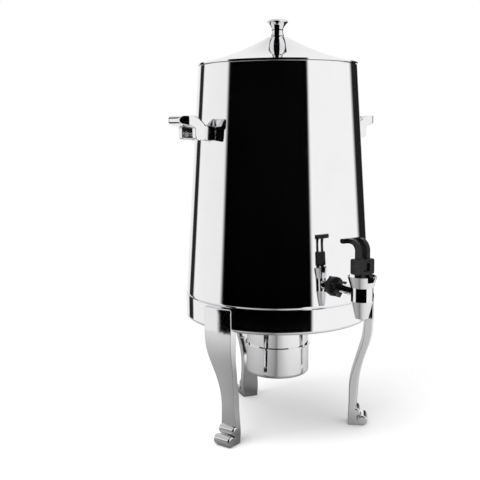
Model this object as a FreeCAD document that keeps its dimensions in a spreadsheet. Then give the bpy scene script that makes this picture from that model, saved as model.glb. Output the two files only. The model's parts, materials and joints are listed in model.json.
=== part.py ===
import FreeCAD, Part
import math
import os

import Sketcher
from FreeCAD import Rotation, Vector

# Coffee urn: a tall mirror-polished tank with one tap and two handles, a lift-off lid, and a
# three-legged stand that carries the tank over a fuel burner.
# Millimetres, +Z up, -Y towards the tap. The origin is on the tank's axis, on the table.

# Driving sizes. A piece that rests on, fits in or lines up with another is placed from that
# piece's sizes, so most heights and reaches here are steps from a neighbour.
SIZES = {
    # tank: heights from its base, radii from its axis
    "tank_height": 307.52,
    "rim_radius": 104.2,
    "wall_slope": 0.06655,
    "corner_radius": 9.4,
    "shell_wall": 1.0,
    "wall_fit_gap": 0.06,
    "bead_width": 3.4,
    "bead_round": 1.9,
    "base_flange_width": 14.0,
    "base_pan_wall": 1.2,
    "base_pan_inset": 6.6,
    "base_dome_radius": 84.0,
    "base_dome_rise": 4.0,
    # lid
    "lid_gap": 0.3,
    "lid_overhang": 0.8,
    "lid_wall": 0.9,
    "lid_edge_rise": 1.9,
    "lid_sweep_radius": 300.0,
    "lid_hem_width": 4.0,
    "lid_edge_slope": 0.2,
    "lid_plateau_radius": 15.0,
    "lid_plateau_rise": 36.0,
    "lid_skirt_clearance": 1.3,
    "lid_skirt_wall": 0.8,
    "lid_skirt_depth": 13.0,
    # lid knob
    "knob_height": 23.0,
    "knob_base_radius": 9.2,
    "knob_neck_radius": 6.9,
    "knob_neck_height": 9.4,
    "knob_cap_radius": 14.4,
    "knob_cap_height": 19.2,
    "knob_top_radius": 10.0,
    "knob_foot_height": 1.4,
    "knob_groove": 0.8,
    "knob_bell_round": 16.0,
    "knob_flare_round": 16.0,
    "knob_cap_round": 7.0,
    "knob_screw_radius": 2.0,
    "knob_screw_depth": 12.0,
    "knob_screw_head_radius": 4.2,
    "knob_screw_head_height": 2.6,
    "knob_washer_radius": 8.0,
    "knob_washer_thickness": 1.2,
    # stand band and the ring that the tank rests on
    "band_top": 185.0,
    "band_height": 31.0,
    "band_wall": 1.5,
    "band_corner_radius": 4.0,
    "band_flange_width": 17.0,
    "tank_sink": 6.02,
    "tank_side_gap": 0.109,
    "tank_seat_gap": 0.3,
    "rest_ring_wall": 1.2,
    "rest_ring_width": 19.5,
    "rest_ring_skirt": 6.5,
    # legs: proud is how far the outer face stands outside the band, depth runs inwards from it
    "stand_turn": -10.5,
    "leg_crown_drop": 0.4,
    "leg_crown_proud": 4.6,
    "leg_crown_depth": 10.0,
    "leg_crown_width": 38.0,
    "leg_brow_drop": 1.8,
    "leg_brow_proud": 6.0,
    "leg_brow_depth": 11.6,
    "leg_brow_width": 42.2,
    "leg_head_drop": 6.0,
    "leg_head_proud": 6.4,
    "leg_head_depth": 12.0,
    "leg_head_width": 43.2,
    "leg_neck_drop": 2.0,
    "leg_neck_proud": 6.2,
    "leg_neck_depth": 12.6,
    "leg_neck_width": 43.2,
    "leg_hip_drop": 22.0,
    "leg_hip_proud": 5.1,
    "leg_hip_depth": 12.6,
    "leg_hip_width": 41.2,
    "leg_thigh_drop": 36.0,
    "leg_thigh_proud": 2.0,
    "leg_thigh_depth": 11.4,
    "leg_thigh_width": 38.0,
    "leg_knee_drop": 52.0,
    "leg_knee_proud": -3.3,
    "leg_knee_depth": 10.8,
    "leg_knee_width": 32.8,
    "leg_shin_drop": 69.0,
    "leg_shin_proud": -8.1,
    "leg_shin_depth": 11.2,
    "leg_shin_width": 26.8,
    "leg_calf_height": 63.0,
    "leg_calf_proud": -12.2,
    "leg_calf_depth": 12.6,
    "leg_calf_width": 22.0,
    "leg_ankle_height": 45.0,
    "leg_ankle_proud": -13.5,
    "leg_ankle_depth": 12.4,
    "leg_ankle_width": 21.8,
    "leg_instep_height": 29.0,
    "leg_instep_proud": -14.5,
    "leg_instep_depth": 11.4,
    "leg_instep_width": 24.4,
    "leg_heel_height": 13.0,
    "leg_heel_proud": -13.8,
    "leg_heel_depth": 12.8,
    "leg_heel_width": 24.8,
    "leg_sole_height": 0.0,
    "leg_sole_proud": -8.6,
    "leg_sole_depth": 18.0,
    "leg_sole_width": 22.8,
    "leg_front_crown": 1.4,
    "leg_edge_round": 1.5,
    "knuckle_proud": -16.2,
    "knuckle_height": 18.6,
    "knuckle_radius": 6.2,
    "knuckle_width": 25.2,
    "toe_proud": -7.0,
    "toe_height": 7.4,
    "toe_radius": 7.0,
    "toe_width": 26.0,
    "roll_round": 2.6,
    "leg_bolt_rise": 11.0,
    "leg_bolt_spacing": 20.0,
    "leg_bolt_radius": 2.0,
    "leg_bolt_head_radius": 4.0,
    "leg_bolt_head_height": 2.4,
    "leg_bolt_grip": 3.4,
    # burner
    "hanger_ring_width": 9.0,
    "hanger_thickness": 1.5,
    "hanger_arm_width": 16.0,
    "hanger_arm_end": 5.0,
    "hanger_screw_inset": 4.0,
    "hanger_screw_radius": 1.8,
    "hanger_screw_head_radius": 3.4,
    "hanger_screw_head_height": 2.0,
    "hanger_nut_radius": 3.6,
    "hanger_nut_height": 2.4,
    "cup_radius": 43.0,
    "cup_wall": 0.8,
    "cup_drop": 41.0,
    "cup_height": 42.0,
    "cup_corner_radius": 5.0,
    "cup_bead_width": 1.6,
    "cup_bead_height": 2.2,
    "cup_foot_inset": 7.0,
    "cup_foot_rise": 1.6,
    "sleeve_clearance": 0.3,
    "sleeve_wall": 0.8,
    "sleeve_overlap": 9.0,
    "sleeve_flange_width": 5.0,
    "sleeve_vent_radius": 4.0,
    "sleeve_vent_drop": 12.0,
    "cover_bore": 24.0,
    "cover_thickness": 1.0,
    "damper_overlap": 3.0,
    "damper_thickness": 1.0,
    "damper_gap": 0.3,
    "damper_pivot_offset": 10.0,
    "damper_boss_radius": 6.0,
    "damper_tab_length": 37.0,
    "damper_tab_width": 10.0,
    "rivet_radius": 2.0,
    "rivet_head_radius": 4.0,
    "rivet_head_height": 1.2,
    "pivot_clearance": 0.06,
    # handles: reach runs outwards from the tank's wall, the other lengths inwards from the grip
    "handle_drop": 96.5,
    "handle_reach": 45.4,
    "handle_foot_sink": 6.0,
    "handle_foot_thickness": 16.5,
    "handle_foot_half_width": 19.0,
    "handle_heel_setback": 19.0,
    "handle_heel_radius": 5.0,
    "handle_heel_rise": 1.5,
    "grip_rise": 21.5,
    "grip_thickness": 10.0,
    "grip_depth": 15.0,
    "grip_half_width": 22.5,
    "grip_corner_radius": 13.0,
    "grip_lip": 3.0,
    "grip_nose_height": 5.0,
    "grip_nose_round": 8.0,
    "grip_top_inset": 4.5,
    "grip_slope_setback": 34.0,
    "grip_slope_rise": 3.5,
    "grip_slope_round": 40.0,
    "finger_gap_foot_half": 9.5,
    "finger_gap_grip_half": 13.5,
    "finger_gap_round": 5.0,
    "handle_screw_spacing": 28.0,
    "handle_screw_rise": 8.0,
    "handle_screw_radius": 2.0,
    "handle_screw_depth": 14.0,
    "handle_screw_head_radius": 3.8,
    "handle_screw_head_height": 2.4,
    "handle_washer_radius": 5.0,
    "handle_washer_thickness": 1.2,
    # tap: heights from the middle of its tail
    "tail_rise": 32.52,
    "tap_stand_off": 51.5,
    "tail_radius": 5.8,
    "tail_bore": 3.8,
    "tail_inside_length": 17.0,
    "tap_barrel_radius": 13.3,
    "barrel_above_tail": 8.0,
    "barrel_below_tail": 8.5,
    "spout_length": 21.0,
    "spout_tip_radius": 8.0,
    "spout_bore": 5.5,
    "chamber_radius": 10.2,
    "chamber_floor_rise": 1.0,
    "bonnet_height": 13.5,
    "bonnet_top_radius": 17.5,
    "bonnet_lip": 0.3,
    "bonnet_wall": 1.2,
    "bonnet_floor_thickness": 2.0,
    "bonnet_floor_rise": 3.0,
    "bonnet_spigot_depth": 5.0,
    "bonnet_spigot_wall": 1.8,
    "bonnet_notch_width": 9.0,
    "bonnet_notch_flare": 1.8,
    "bonnet_notch_depth": 6.5,
    "stem_radius": 3.0,
    "stem_clearance": 0.1,
    "stem_flange_radius": 6.8,
    "stem_flange_thickness": 1.5,
    "seat_cup_radius": 8.4,
    "seat_cup_height": 4.0,
    "seat_cup_floor": 1.2,
    "stem_spigot_radius": 2.0,
    "seat_gap": 0.2,
    "spring_radius": 5.6,
    "spring_wire": 0.9,
    "spring_turns": 4.0,
    "spring_end_gap": 0.2,
    "collar_nut_across": 25.0,
    "collar_nut_depth": 8.0,
    "collar_nut_waist": 4.6,
    "seal_radius": 12.0,
    "outer_seal_thickness": 3.5,
    "inner_seal_thickness": 4.0,
    "tail_hole_clearance": 0.2,
    "inner_washer_thickness": 1.5,
    "inner_nut_across": 19.0,
    "inner_nut_depth": 6.0,
    # tap lever, with its pin in the stem
    "lever_pin_rise": 6.5,
    "lever_pin_radius": 1.2,
    "lever_pin_length": 17.0,
    "stem_above_pin": 3.6,
    "cam_offset": 5.0,
    "cam_gap": 0.3,
    "cheek_round": 4.5,
    "cheek_gap": 3.3,
    "cheek_outer": 8.0,
    "block_rise": 6.0,
    "block_height": 18.5,
    "block_half_width": 11.5,
    "block_half_depth": 8.0,
    "block_round": 2.6,
    "pocket_width": 9.5,
    "pocket_height": 10.0,
    "pocket_depth": 3.0,
    "groove_land": 1.6,
    "groove_depth": 1.2,
    "rail_half_depth": 3.2,
    "rail_straight": 8.5,
    "rail_bend_radius": 14.0,
    "rail_inner_half": 4.2,
    "rail_outer_half": 9.0,
    "crossbar_reach": 22.2,
    "crossbar_depth": 6.0,
    "crossbar_half_width": 16.0,
    "crossbar_thickness": 5.6,
}

doc = FreeCAD.newDocument("CoffeeUrn")
sheet = doc.addObject("Spreadsheet::Sheet", "Sizes")
for row, (alias, number) in enumerate(SIZES.items(), start=1):
    sheet.set(f"A{row}", alias)
    sheet.set(f"B{row}", str(number))
    sheet.setAlias(f"B{row}", alias)
doc.recompute()


class Size:
    """A size with its number and the expression that ties it to the sheet."""

    def __init__(self, number, text):
        self.number = number
        self.text = text

    def __add__(self, other):
        other = as_size(other)
        return Size(self.number + other.number, f"({self.text} + {other.text})")

    def __sub__(self, other):
        other = as_size(other)
        return Size(self.number - other.number, f"({self.text} - {other.text})")

    def __mul__(self, other):
        other = as_size(other)
        return Size(self.number * other.number, f"({self.text} * {other.text})")

    def __truediv__(self, other):
        other = as_size(other)
        return Size(self.number / other.number, f"({self.text} / {other.text})")

    def __neg__(self):
        return Size(-self.number, f"(0 - {self.text})")

    def root(self):
        return Size(math.sqrt(self.number), f"sqrt({self.text})")


def as_size(item):
    return item if isinstance(item, Size) else Size(float(item), str(float(item)))


class SheetSizes:
    """Gives each size of the sheet by its name."""

    def __getattr__(self, alias):
        return Size(float(SIZES[alias]), f"Sizes.{alias}")


s = SheetSizes()

parts = {}


def keep(node, piece):
    """Names a finished sub-part: its label is the name of its file."""
    piece.Label = node
    parts[node] = piece
    return piece


def new_body(node):
    body = doc.addObject("PartDesign::Body", node)
    body.AllowCompound = True
    return keep(node, body)


def origin_feature(body, role):
    return next(item for item in body.Origin.OriginFeatures if item.Role == role)


def new_sketch(body, name, plane, lift=None, shift=None):
    """Sketch on an origin plane, lifted along its normal and shifted along its first axis."""
    sketch = body.newObject("Sketcher::SketchObject", name)
    sketch.AttachmentSupport = (origin_feature(body, plane), [""])
    sketch.MapMode = "FlatFace"
    if lift is not None:
        sketch.setExpression("AttachmentOffset.Base.z", lift.text)
    if shift is not None:
        sketch.setExpression("AttachmentOffset.Base.x", shift.text)
    return sketch


def arc_between(start, end, radius):
    """Shorter arc from start to end: a positive radius turns left, a negative one right."""
    chord = end - start
    half = chord.Length / 2
    side = 1 if radius > 0 else -1
    normal = Vector(-chord.y, chord.x, 0).normalize()
    offset = math.sqrt(max(radius * radius - half * half, 0))
    centre = (start + end) * 0.5 + normal * (side * offset)
    first, last = (start, end) if side > 0 else (end, start)
    circle = Part.Circle(centre, Vector(0, 0, 1), abs(radius))
    first_angle = math.atan2(first.y - centre.y, first.x - centre.x)
    last_angle = math.atan2(last.y - centre.y, last.x - centre.x)
    return Part.ArcOfCircle(circle, first_angle, last_angle)


def tie(sketch, constraint, size):
    index = sketch.addConstraint(constraint)
    sketch.setExpression(f"Constraints[{index}]", size.text)


def draw_outline(sketch, corners):
    """Closed outline with every corner dimensioned from the sketch's origin.

    A corner is (across, up), or (across, up, radius) where the edge that arrives there is an arc.
    """
    corners = [tuple(as_size(item) for item in corner) for corner in corners]
    places = [Vector(corner[0].number, corner[1].number, 0) for corner in corners]
    ends = []
    for index, corner in enumerate(corners):
        start, end = places[index - 1], places[index]
        if len(corner) == 2:
            edge = sketch.addGeometry(Part.LineSegment(start, end))
            ends.append((edge, 1, 2))
            continue
        radius = corner[2]
        edge = sketch.addGeometry(arc_between(start, end, radius.number))
        ends.append((edge, 1, 2) if radius.number > 0 else (edge, 2, 1))
        tie(sketch, Sketcher.Constraint("Radius", edge, abs(radius.number)),
            radius if radius.number > 0 else -radius)
    for index, corner in enumerate(corners):
        edge, _, arrival = ends[index]
        next_edge, departure, _ = ends[(index + 1) % len(ends)]
        sketch.addConstraint(Sketcher.Constraint("Coincident", edge, arrival, next_edge, departure))
        across, up = corner[0], corner[1]
        tie(sketch, Sketcher.Constraint("DistanceX", -1, 1, edge, arrival, across.number), across)
        tie(sketch, Sketcher.Constraint("DistanceY", -1, 1, edge, arrival, up.number), up)
    return sketch


def draw_circle(sketch, across, up, radius):
    across, up, radius = as_size(across), as_size(up), as_size(radius)
    place = Vector(across.number, up.number, 0)
    circle = sketch.addGeometry(Part.Circle(place, Vector(0, 0, 1), radius.number))
    tie(sketch, Sketcher.Constraint("Radius", circle, radius.number), radius)
    tie(sketch, Sketcher.Constraint("DistanceX", -1, 1, circle, 3, across.number), across)
    tie(sketch, Sketcher.Constraint("DistanceY", -1, 1, circle, 3, up.number), up)
    return sketch


def revolve(body, name, sketch, axis="V_Axis", kind="Revolution"):
    turn = body.newObject(f"PartDesign::{kind}", name)
    turn.Profile = sketch
    turn.ReferenceAxis = (sketch, [axis])
    turn.Angle = 360
    sketch.Visibility = False
    return turn


def turned(node, corners):
    """Body turned about its own Z axis from an outline of (radius, height) corners."""
    body = new_body(node)
    sketch = draw_outline(new_sketch(body, f"{node}_outline", "XZ_Plane"), corners)
    revolve(body, f"{node}_turn", sketch)
    return body


def pad(body, name, sketch, length, both_ways=False):
    feature = body.newObject("PartDesign::Pad", name)
    feature.Profile = sketch
    feature.Midplane = both_ways
    feature.setExpression("Length", length.text)
    return feature


def cut_through(body, name, sketch, both_ways=True, reverse=False):
    feature = body.newObject("PartDesign::Pocket", name)
    feature.Profile = sketch
    feature.Type = "ThroughAll"
    feature.Midplane = both_ways
    feature.Reversed = reverse
    return feature


def repeat_round(body, name, originals, count, mirror_plane=None):
    """Copies features round the body's Z axis, mirrored first where a plane is given."""
    polar = body.newObject("PartDesign::PolarPattern", name + "_polar")
    polar.Axis = (origin_feature(body, "Z_Axis"), [""])
    polar.Angle = 360
    polar.Occurrences = count
    if mirror_plane is None:
        polar.Originals = originals
        body.Tip = polar
        return polar
    mirrored = body.newObject("PartDesign::Mirrored", name + "_mirror")
    mirrored.MirrorPlane = (origin_feature(body, mirror_plane), [""])
    multi = body.newObject("PartDesign::MultiTransform", name)
    multi.Originals = originals
    multi.Transformations = [mirrored, polar]
    body.Tip = multi
    return multi


def place(piece, across=0, along=0, up=0):
    for axis, size in zip("xyz", (across, along, up)):
        piece.setExpression(f"Placement.Base.{axis}", as_size(size).text)
    return piece


def face_front(piece):
    """Turns a piece's own Z axis to -Y, the way the tap points."""
    piece.Placement.Rotation = Rotation(Vector(1, 0, 0), 90)
    return piece


# Tank

lean_cosine = as_size(1) / (as_size(1) + s.wall_slope * s.wall_slope).root()
lean_sine = s.wall_slope * lean_cosine
base_height = s.band_top - s.tank_sink
base_floor = base_height + s.shell_wall
rim_height = base_height + s.tank_height
corner_height = base_height + s.corner_radius * (as_size(1) + lean_sine)
base_radius = s.rim_radius + (rim_height - corner_height) * s.wall_slope
corner_inset = base_radius - s.corner_radius * lean_cosine
bead_rise = s.bead_round - (s.bead_round * s.bead_round - s.bead_width * s.bead_width / 4).root()
bead_shoulder = rim_height - bead_rise
rim_inner_radius = s.rim_radius - s.bead_width
inner_shift = s.shell_wall / lean_cosine
handle_axis_spacing = s.handle_screw_spacing / 2
handle_base = rim_height - s.handle_drop
handle_screw_height = handle_base + s.handle_screw_rise
tail_height = base_height + s.tail_rise


def shell_radius(height):
    """Radius of the tank's outer face at a height."""
    return s.rim_radius + (rim_height - height) * s.wall_slope


def make_tank():
    bead_bottom = bead_shoulder - s.bead_width
    shell = turned("urn_shell", [
        (shell_radius(bead_shoulder), bead_shoulder, -s.bead_round),
        (base_radius, corner_height),
        (corner_inset, base_height, -s.corner_radius),
        (corner_inset - s.base_flange_width, base_height),
        (corner_inset - s.base_flange_width, base_floor),
        (corner_inset, base_floor),
        (base_radius - s.shell_wall * lean_cosine, corner_height - s.shell_wall * lean_sine,
         s.corner_radius - s.shell_wall),
        (shell_radius(bead_bottom) - inner_shift, bead_bottom),
        (rim_inner_radius, bead_bottom),
        (rim_inner_radius, bead_shoulder),
    ])
    tail_hole = draw_circle(new_sketch(shell, "tail_hole_circle", "XZ_Plane"),
                            0, tail_height, s.tail_radius + s.tail_hole_clearance)
    cut_through(shell, "tail_hole", tail_hole, both_ways=False, reverse=True)
    for side in (-1, 1):
        hole = draw_circle(new_sketch(shell, "handle_hole_circle", "YZ_Plane"),
                           handle_axis_spacing * side, handle_screw_height, s.handle_screw_radius)
        cut_through(shell, "handle_hole", hole)
    pan_radius = corner_inset - s.base_pan_inset
    dome_foot = s.base_dome_radius + s.base_dome_rise * 2
    turned("urn_base", [
        (0, base_floor + s.base_dome_rise),
        (s.base_dome_radius, base_floor + s.base_dome_rise),
        (dome_foot, base_floor),
        (pan_radius, base_floor),
        (pan_radius, base_floor + s.base_pan_wall),
        (dome_foot, base_floor + s.base_pan_wall),
        (s.base_dome_radius, base_floor + s.base_dome_rise + s.base_pan_wall),
        (0, base_floor + s.base_dome_rise + s.base_pan_wall),
    ])


# Lid

lid_seat = rim_height + s.lid_gap
lid_edge_radius = s.rim_radius + s.lid_overhang
lid_edge_top = lid_seat + s.lid_edge_rise
plateau_top = rim_height + s.lid_plateau_rise
plateau_bottom = plateau_top - s.lid_wall


def make_lid():
    hem_radius = lid_edge_radius - s.lid_hem_width
    hem_under = lid_edge_top + s.lid_hem_width * s.lid_edge_slope - s.lid_wall
    turned("lid_shell", [
        (s.knob_screw_radius, plateau_bottom),
        (s.lid_plateau_radius, plateau_bottom),
        (hem_radius, hem_under, s.lid_sweep_radius + s.lid_wall),
        (hem_radius, lid_seat),
        (lid_edge_radius, lid_seat),
        (lid_edge_radius, lid_edge_top),
        (s.lid_plateau_radius, plateau_top, -s.lid_sweep_radius),
        (s.knob_screw_radius, plateau_top),
    ])
    skirt_radius = rim_inner_radius - s.lid_skirt_clearance
    skirt_inner = skirt_radius - s.lid_skirt_wall
    skirt_top = hem_under + (hem_radius - skirt_radius) * s.lid_edge_slope
    turned("lid_skirt", [
        (skirt_radius, lid_seat - s.lid_skirt_depth),
        (skirt_radius, skirt_top),
        (skirt_inner, skirt_top + s.lid_skirt_wall * s.lid_edge_slope),
        (skirt_inner, lid_seat - s.lid_skirt_depth),
    ])
    groove_radius = s.knob_base_radius - s.knob_groove
    bell_start = s.knob_foot_height + s.knob_groove
    flare_start = s.knob_neck_height + s.knob_groove
    knob = turned("lid_knob", [
        (s.knob_screw_radius, 0),
        (s.knob_base_radius, 0),
        (s.knob_base_radius, s.knob_foot_height),
        (groove_radius, s.knob_foot_height),
        (groove_radius, bell_start),
        (s.knob_base_radius - s.knob_groove / 4, bell_start),
        (s.knob_neck_radius, s.knob_neck_height, -s.knob_bell_round),
        (s.knob_neck_radius + s.knob_groove, s.knob_neck_height),
        (s.knob_neck_radius + s.knob_groove, flare_start),
        (s.knob_neck_radius, flare_start),
        (s.knob_cap_radius, s.knob_cap_height, -s.knob_flare_round),
        (s.knob_top_radius, s.knob_height, s.knob_cap_round),
        (0, s.knob_height),
        (0, s.knob_screw_depth),
        (s.knob_screw_radius, s.knob_screw_depth),
    ])
    place(knob, up=plateau_top)
    washer_bottom = plateau_bottom - s.knob_washer_thickness
    turned("knob_washer", [
        (s.knob_screw_radius, washer_bottom),
        (s.knob_washer_radius, washer_bottom),
        (s.knob_washer_radius, plateau_bottom),
        (s.knob_screw_radius, plateau_bottom),
    ])
    turned("knob_screw", [
        (0, washer_bottom - s.knob_screw_head_height),
        (s.knob_screw_head_radius, washer_bottom - s.knob_screw_head_height),
        (s.knob_screw_head_radius, washer_bottom),
        (s.knob_screw_radius, washer_bottom),
        (s.knob_screw_radius, plateau_top + s.knob_screw_depth),
        (0, plateau_top + s.knob_screw_depth),
    ])


# Stand

LEG_COUNT = 3
FRONT_LEG_BEARING = -30
LEG_SPACING = 360 // LEG_COUNT
corner_lift = base_height + s.corner_radius - s.band_top
tank_at_band_top = corner_inset + (s.corner_radius * s.corner_radius - corner_lift * corner_lift).root()
band_inner = tank_at_band_top + s.tank_side_gap
band_radius = band_inner + s.band_wall
band_bottom = s.band_top - s.band_height
band_floor = band_bottom + s.band_wall
band_flange_bore = band_radius - s.band_flange_width
hanger_screw_reach = band_flange_bore + s.hanger_screw_inset
leg_bolt_height = band_bottom + s.leg_bolt_rise
leg_bolt_offset = s.leg_bolt_spacing / 2
rest_ring_bore = band_inner - s.rest_ring_width


def hexagon(centre_across, centre_up, corner_radius):
    """Six corners of a hexagon that points along its first axis."""
    half = corner_radius / 2
    tall = corner_radius * as_size(3).root() / 2
    return [
        (centre_across + corner_radius, centre_up),
        (centre_across + half, centre_up + tall),
        (centre_across - half, centre_up + tall),
        (centre_across - corner_radius, centre_up),
        (centre_across - half, centre_up - tall),
        (centre_across + half, centre_up - tall),
    ]


def turn_with_stand(piece, bearing=FRONT_LEG_BEARING):
    """Turns a piece so that its +X points at a leg, wherever the stand is turned to."""
    piece.Placement.Rotation = Rotation(Vector(0, 0, 1), 1)
    piece.setExpression("Placement.Rotation.Angle", f"(Sizes.stand_turn + {bearing}) * 1 deg")
    return piece


def make_stand_ring():
    flange_edge = band_radius - s.band_corner_radius
    corner_top = band_bottom + s.band_corner_radius
    ring = turned("stand_ring", [
        (band_flange_bore, band_bottom),
        (flange_edge, band_bottom),
        (band_radius, corner_top, s.band_corner_radius),
        (band_radius, s.band_top),
        (band_inner, s.band_top),
        (band_inner, corner_top),
        (flange_edge, band_floor, s.band_wall - s.band_corner_radius),
        (band_flange_bore, band_floor),
    ])
    holes = []
    for side in (-1, 1):
        sketch = draw_circle(new_sketch(ring, "leg_bolt_circle", "YZ_Plane"),
                             leg_bolt_offset * side, leg_bolt_height, s.leg_bolt_radius)
        holes.append(cut_through(ring, "leg_bolt_hole", sketch, both_ways=False, reverse=True))
    sketch = draw_circle(new_sketch(ring, "hanger_screw_circle", "XY_Plane"),
                         -hanger_screw_reach, 0, s.hanger_screw_radius)
    holes.append(cut_through(ring, "hanger_screw_hole", sketch))
    repeat_round(ring, "leg_positions", holes, LEG_COUNT)
    turn_with_stand(ring)

    seat = base_height - s.tank_seat_gap
    under = seat - s.rest_ring_wall
    rest_ring = turned("rest_ring", [
        (rest_ring_bore, seat - s.rest_ring_skirt),
        (rest_ring_bore + s.rest_ring_wall, seat - s.rest_ring_skirt),
        (rest_ring_bore + s.rest_ring_wall, under),
        (band_inner - s.rest_ring_wall, under),
        (band_inner - s.rest_ring_wall, seat - s.rest_ring_skirt),
        (band_inner, seat - s.rest_ring_skirt),
        (band_inner, seat),
        (rest_ring_bore, seat),
    ])
    turn_with_stand(rest_ring)

    bolts = new_body("leg_bolts")
    head_seat = (band_inner * band_inner
                 - (leg_bolt_offset + s.leg_bolt_head_radius)
                 * (leg_bolt_offset + s.leg_bolt_head_radius)).root()
    outline = draw_outline(new_sketch(bolts, "bolt_outline", "XZ_Plane", lift=leg_bolt_offset), [
        (head_seat - s.leg_bolt_head_height, 0),
        (band_radius + s.leg_bolt_grip, 0),
        (band_radius + s.leg_bolt_grip, s.leg_bolt_radius),
        (head_seat, s.leg_bolt_radius),
        (head_seat, s.leg_bolt_head_radius),
        (head_seat - s.leg_bolt_head_height, s.leg_bolt_head_radius),
    ])
    bolt = revolve(bolts, "bolt_turn", outline, axis="H_Axis")
    repeat_round(bolts, "leg_positions", [bolt], LEG_COUNT, mirror_plane="XZ_Plane")
    place(bolts, up=leg_bolt_height)
    turn_with_stand(bolts)


BAND_STATIONS = ("crown", "brow", "head")
LEG_STATIONS = ("neck", "hip", "thigh", "knee", "shin")
FOOT_STATIONS = ("calf", "ankle", "instep", "heel", "sole")


def leg_section(station, height):
    """Closed outline across the leg: a crowned front face, two sides and a back, edges rounded."""
    front = band_radius.number + SIZES[f"leg_{station}_proud"]
    back = front - SIZES[f"leg_{station}_depth"]
    half = SIZES[f"leg_{station}_width"] / 2
    edge = SIZES["leg_edge_round"]
    shoulder = front - SIZES["leg_front_crown"]
    rim = edge - edge * math.cos(math.pi / 4)
    corners = [
        (shoulder, edge - half), (front, 0), (shoulder, half - edge),
        (shoulder - rim, half - rim), (shoulder - edge, half),
        (back + edge, half),
        (back + rim, half - rim), (back, half - edge),
        (back, edge - half),
        (back + rim, rim - half), (back + edge, -half),
        (shoulder - edge, -half),
        (shoulder - rim, rim - half), (shoulder, edge - half),
    ]
    points = [Vector(reach, across, height) for reach, across in corners]
    edges = [
        Part.Arc(*points[0:3]).toShape(),
        Part.Arc(*points[2:5]).toShape(),
        Part.makeLine(points[4], points[5]),
        Part.Arc(*points[5:8]).toShape(),
        Part.makeLine(points[7], points[8]),
        Part.Arc(*points[8:11]).toShape(),
        Part.makeLine(points[10], points[11]),
        Part.Arc(*points[11:14]).toShape(),
    ]
    return Part.Wire(edges)


def leg_sections():
    """Sections down the leg: under the band's top, below the band, then up from the table."""
    sections = []
    for station in BAND_STATIONS:
        sections.append(leg_section(station, SIZES["band_top"] - SIZES[f"leg_{station}_drop"]))
    for station in LEG_STATIONS:
        sections.append(leg_section(station, band_bottom.number - SIZES[f"leg_{station}_drop"]))
    for station in FOOT_STATIONS:
        sections.append(leg_section(station, SIZES[f"leg_{station}_height"]))
    return sections


def foot_roll(name):
    """Rounded roll that lies across the foot."""
    reach = band_radius.number + SIZES[f"{name}_proud"]
    width = SIZES[f"{name}_width"]
    start = Vector(reach, -width / 2, SIZES[f"{name}_height"])
    roll = Part.makeCylinder(SIZES[f"{name}_radius"], width, start, Vector(0, 1, 0))
    rims = [edge for edge in roll.Edges if isinstance(edge.Curve, Part.Circle)]
    return roll.makeFillet(SIZES["roll_round"], rims)


def band_envelope():
    """Space that the band fills, with all that it encloses."""
    radius, corner = band_radius.number, SIZES["band_corner_radius"]
    bottom, top = band_bottom.number, SIZES["band_top"] + corner
    inset = radius - corner
    middle = Vector(inset + corner * math.sin(math.pi / 4), 0,
                    bottom + corner - corner * math.cos(math.pi / 4))
    edges = [
        Part.makeLine(Vector(0, 0, bottom), Vector(inset, 0, bottom)),
        Part.Arc(Vector(inset, 0, bottom), middle, Vector(radius, 0, bottom + corner)).toShape(),
        Part.makeLine(Vector(radius, 0, bottom + corner), Vector(radius, 0, top)),
        Part.makeLine(Vector(radius, 0, top), Vector(0, 0, top)),
        Part.makeLine(Vector(0, 0, top), Vector(0, 0, bottom)),
    ]
    face = Part.Face(Part.Wire(edges))
    return face.revolve(Vector(0, 0, 0), Vector(0, 0, 1), 360)


def leg_shape():
    limb = Part.makeLoft(leg_sections(), True, False)
    leg = limb.fuse([foot_roll("knuckle"), foot_roll("toe")])
    leg = leg.cut(band_envelope())
    for side in (-1, 1):
        start = Vector(band_inner.number, side * SIZES["leg_bolt_spacing"] / 2, leg_bolt_height.number)
        length = SIZES["band_wall"] + SIZES["leg_bolt_grip"]
        leg = leg.cut(Part.makeCylinder(SIZES["leg_bolt_radius"], length, start, Vector(1, 0, 0)))
    return leg


def make_legs():
    shape = leg_shape()
    for index, node in enumerate(("leg_front_right", "leg_rear", "leg_front_left")):
        leg = keep(node, doc.addObject("Part::Feature", node))
        leg.Shape = shape
        turn_with_stand(leg, FRONT_LEG_BEARING + index * LEG_SPACING)


# Burner

hanger_top = band_floor + s.hanger_thickness
cup_top = band_bottom - s.cup_drop
cup_bottom = cup_top - s.cup_height
damper_radius = s.cover_bore + s.damper_overlap
damper_pivot_reach = s.cover_bore + s.damper_pivot_offset
damper_tab_reach = damper_radius + s.damper_tab_length
cup_inner = s.cup_radius - s.cup_wall
sleeve_radius = cup_inner - s.sleeve_clearance
sleeve_inner = sleeve_radius - s.sleeve_wall
flange_radius = sleeve_radius + s.sleeve_flange_width
cover_bottom = hanger_top + s.sleeve_wall
cover_top = cover_bottom + s.cover_thickness
damper_bottom = cover_top + s.damper_gap
damper_top = damper_bottom + s.damper_thickness
SLEEVE_VENTS = 8


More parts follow.
